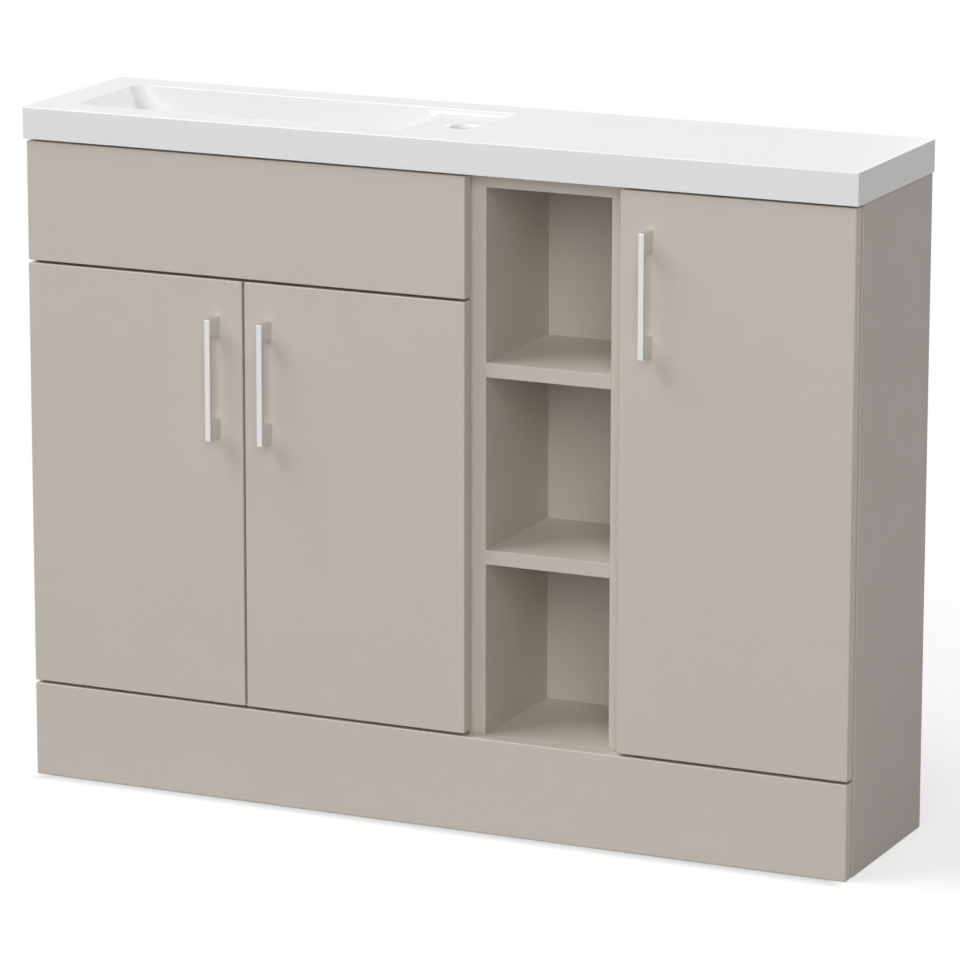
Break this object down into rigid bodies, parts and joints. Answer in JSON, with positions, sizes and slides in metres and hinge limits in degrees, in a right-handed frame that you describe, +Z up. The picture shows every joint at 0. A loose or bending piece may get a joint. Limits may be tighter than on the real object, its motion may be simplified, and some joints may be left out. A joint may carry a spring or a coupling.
{
  "type": "combination vanity unit",
  "caption": "Slim bathroom vanity: worktop with a moulded basin and tap deck over a hinged-door cabinet, open shelves and a tall cupboard, on a full-width plinth.",
  "frame": {"origin": "centre of the footprint, handles included, on the floor", "axes": "+X to the right seen from the front, +Y to the wall behind, +Z up"},
  "size_m": [1.105, 0.2804, 0.858],
  "materials": {
    "cast_top": "gloss",
    "painted_front": "satin",
    "painted_board": "satin",
    "handle_chrome": "satin",
    "hinge_steel": "satin",
    "plated_steel": "satin",
    "beech_dowel": "matte",
    "buffer_pad": "matte"
  },
  "bodies": {
    "carcass": {"bracket_screws": "plated_steel", "carcass_dowels": "beech_dowel", "cupboard_back": "painted_board", "cupboard_bottom": "painted_board", "cupboard_door_hinge_arms": "hinge_steel", "cupboard_door_hinge_plates": "hinge_steel", "cupboard_left_side": "painted_board", "cupboard_rear_rail": "painted_board", "cupboard_right_side": "painted_board", "cupboard_shelf": "painted_board", "cupboard_top": "painted_board", "fixed_front_panel": "painted_front", "fixed_panel_brackets": "plated_steel", "hinge_plate_screws": "plated_steel", "left_door_hinge_arms": "hinge_steel", "left_door_hinge_plates": "hinge_steel", "open_back": "painted_board", "open_bottom": "painted_board", "open_left_side": "painted_board", "open_lower_shelf": "painted_board", "open_right_side": "painted_board", "open_top": "painted_board", "open_upper_shelf": "painted_board", "plinth": "painted_front", "plinth_brackets": "plated_steel", "right_door_hinge_arms": "hinge_steel", "right_door_hinge_plates": "hinge_steel", "shelf_pins": "plated_steel", "unit_connecting_screws": "plated_steel", "vanity_back": "painted_board", "vanity_bottom": "painted_board", "vanity_front_rail": "painted_board", "vanity_left_side": "painted_board", "vanity_rear_rail": "painted_board", "vanity_right_side": "painted_board", "worktop_basin": "cast_top"},
    "left_door": {"left_door": "painted_front", "left_door_cup_screws": "plated_steel", "left_door_handle": "handle_chrome", "left_door_handle_screws": "plated_steel", "left_door_hinge_cups": "hinge_steel", "left_door_hinge_pins": "hinge_steel", "left_door_pads": "buffer_pad"},
    "right_door": {"right_door": "painted_front", "right_door_cup_screws": "plated_steel", "right_door_handle": "handle_chrome", "right_door_handle_screws": "plated_steel", "right_door_hinge_cups": "hinge_steel", "right_door_hinge_pins": "hinge_steel", "right_door_pads": "buffer_pad"},
    "cupboard_door": {"cupboard_door": "painted_front", "cupboard_door_cup_screws": "plated_steel", "cupboard_door_handle": "handle_chrome", "cupboard_door_handle_screws": "plated_steel", "cupboard_door_hinge_cups": "hinge_steel", "cupboard_door_hinge_pins": "hinge_steel", "cupboard_door_pads": "buffer_pad"}
  },
  "joints": [
    {"name": "left_door_hinge", "type": "hinge", "parent": "carcass", "child": "left_door", "pos_m": [-0.542, -0.10325, 0.3925], "axis": [0, 0, -1], "range_deg": [0, 95]},
    {"name": "right_door_hinge", "type": "hinge", "parent": "carcass", "child": "right_door", "pos_m": [0.042, -0.10325, 0.3925], "axis": [0, 0, 1], "range_deg": [0, 95]},
    {"name": "cupboard_door_hinge", "type": "hinge", "parent": "carcass", "child": "cupboard_door", "pos_m": [0.542, -0.10325, 0.46925], "axis": [0, 0, 1], "range_deg": [0, 95]}
  ]
}
